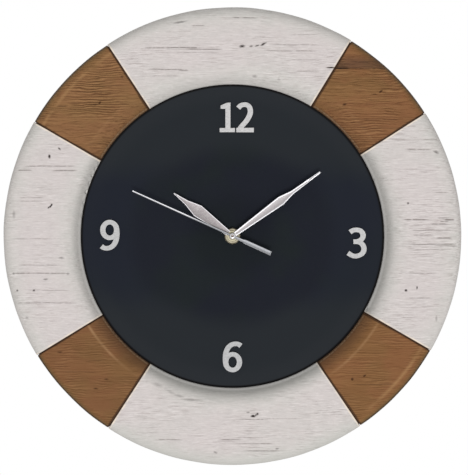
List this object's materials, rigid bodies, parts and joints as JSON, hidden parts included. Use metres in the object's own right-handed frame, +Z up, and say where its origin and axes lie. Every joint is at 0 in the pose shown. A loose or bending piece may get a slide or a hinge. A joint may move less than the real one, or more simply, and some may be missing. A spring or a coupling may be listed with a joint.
{
  "type": "wall clock",
  "caption": "Round wall clock with a segmented wooden lifebuoy ring, dark dial, raised numerals, three hands and a quartz movement behind the dial.",
  "frame": {"origin": "where the wall screw bears at the top of the hanger's slot, on the wall plane", "axes": "+Z up, the dial faces -Y, the wall lies in the XZ plane behind it, +X to the right seen from the front"},
  "size_m": [0.38, 0.034, 0.38],
  "materials": {
    "whitewashed_wood": "white-washed wood, brushed grain showing, matt",
    "brown_wood": "brown-stained wood, matt",
    "dial_paint": "matt dark grey-blue paint on hardboard",
    "numeral_silver": "brushed silver",
    "hand_aluminium": "satin",
    "brass": "dull brass",
    "steel": "bright steel",
    "zinc_plate": "zinc plated steel",
    "black_plastic": "matt black moulding",
    "white_plastic": "natural white moulding",
    "black_rubber": "black rubber",
    "copper_wire": "enamelled copper wire",
    "board_green": "green solder mask",
    "chip_black": "black epoxy",
    "magnet": "dark magnet on a steel arbor",
    "battery_jacket": "plain coloured jacket, no marks"
  },
  "bodies": {
    "clock": {"white_segment_right": "whitewashed_wood", "brown_segment_upper_right": "brown_wood", "white_segment_top": "whitewashed_wood", "brown_segment_upper_left": "brown_wood", "white_segment_left": "whitewashed_wood", "brown_segment_lower_left": "brown_wood", "white_segment_bottom": "whitewashed_wood", "brown_segment_lower_right": "brown_wood", "dial_plate": "dial_paint", "dial_screw_right": "steel", "dial_screw_upper_right": "steel", "dial_screw_top": "steel", "dial_screw_upper_left": "steel", "dial_screw_left": "steel", "dial_screw_lower_left": "steel", "dial_screw_bottom": "steel", "dial_screw_lower_right": "steel", "numeral_1": "numeral_silver", "numeral_2": "numeral_silver", "numeral_3": "numeral_silver", "numeral_6": "numeral_silver", "numeral_9": "numeral_silver", "threaded_bushing": "brass", "rubber_gasket": "black_rubber", "brass_washer": "brass", "hex_nut": "brass", "movement_front_cover": "black_plastic", "movement_back_cover": "black_plastic", "middle_plate": "white_plastic", "stator": "steel", "coil_core": "steel", "coil_bobbin": "white_plastic", "coil_winding": "copper_wire", "contact_positive": "zinc_plate", "contact_negative": "zinc_plate", "circuit_board": "board_green", "quartz_crystal": "zinc_plate", "clock_chip": "chip_black", "hanger_plate": "zinc_plate", "hanger_screw_left": "steel", "hanger_screw_right": "steel"},
    "seconds": {"second_hand": "hand_aluminium", "seconds_wheel": "white_plastic"},
    "rotor": {"rotor": "magnet"},
    "intermediate": {"intermediate_wheel": "white_plastic"},
    "third": {"third_wheel": "white_plastic"},
    "centre": {"centre_wheel": "white_plastic"},
    "minutes": {"minute_hand": "hand_aluminium", "minute_pipe": "brass"},
    "motion_work": {"minute_wheel": "white_plastic", "setting_knob": "white_plastic"},
    "hours": {"hour_hand": "hand_aluminium", "hour_wheel": "white_plastic"},
    "battery": {"battery": "battery_jacket"}
  },
  "joints": [
    {"name": "seconds_turn", "type": "hinge", "parent": "clock", "child": "seconds", "pos_m": [0, -0.01, -0.1705], "axis": [0, 1, 0], "continuous": true},
    {"name": "rotor_turn", "type": "hinge", "parent": "clock", "child": "rotor", "pos_m": [0.01183, -0.01, -0.16597], "axis": [0, 1, 0], "continuous": true},
    {"name": "intermediate_turn", "type": "hinge", "parent": "clock", "child": "intermediate", "pos_m": [0.0053, -0.01, -0.16293], "axis": [0, 1, 0], "continuous": true},
    {"name": "third_turn", "type": "hinge", "parent": "clock", "child": "third", "pos_m": [-0.01031, -0.01, -0.16455], "axis": [0, 1, 0], "continuous": true},
    {"name": "centre_turn", "type": "hinge", "parent": "clock", "child": "centre", "pos_m": [0, -0.01, -0.1705], "axis": [0, 1, 0], "continuous": true},
    {"name": "minutes_turn", "type": "hinge", "parent": "clock", "child": "minutes", "pos_m": [0, -0.01, -0.1705], "axis": [0, 1, 0], "continuous": true},
    {"name": "setting_turn", "type": "hinge", "parent": "clock", "child": "motion_work", "pos_m": [-0.01036, -0.01, -0.17749], "axis": [0, 1, 0], "continuous": true},
    {"name": "hours_turn", "type": "hinge", "parent": "clock", "child": "hours", "pos_m": [0, -0.01, -0.1705], "axis": [0, 1, 0], "continuous": true},
    {"name": "battery_out", "type": "slide", "parent": "clock", "child": "battery", "axis": [0, 1, 0], "range_m": [0, 0.018]}
  ],
  "couplings": [
    {"joint": "rotor_turn", "follows": "seconds_turn", "ratio": 30},
    {"joint": "intermediate_turn", "follows": "seconds_turn", "ratio": -6},
    {"joint": "third_turn", "follows": "seconds_turn", "ratio": -0.13333},
    {"joint": "centre_turn", "follows": "seconds_turn", "ratio": 0.016667},
    {"joint": "setting_turn", "follows": "minutes_turn", "ratio": -0.33333},
    {"joint": "hours_turn", "follows": "minutes_turn", "ratio": 0.083333}
  ]
}
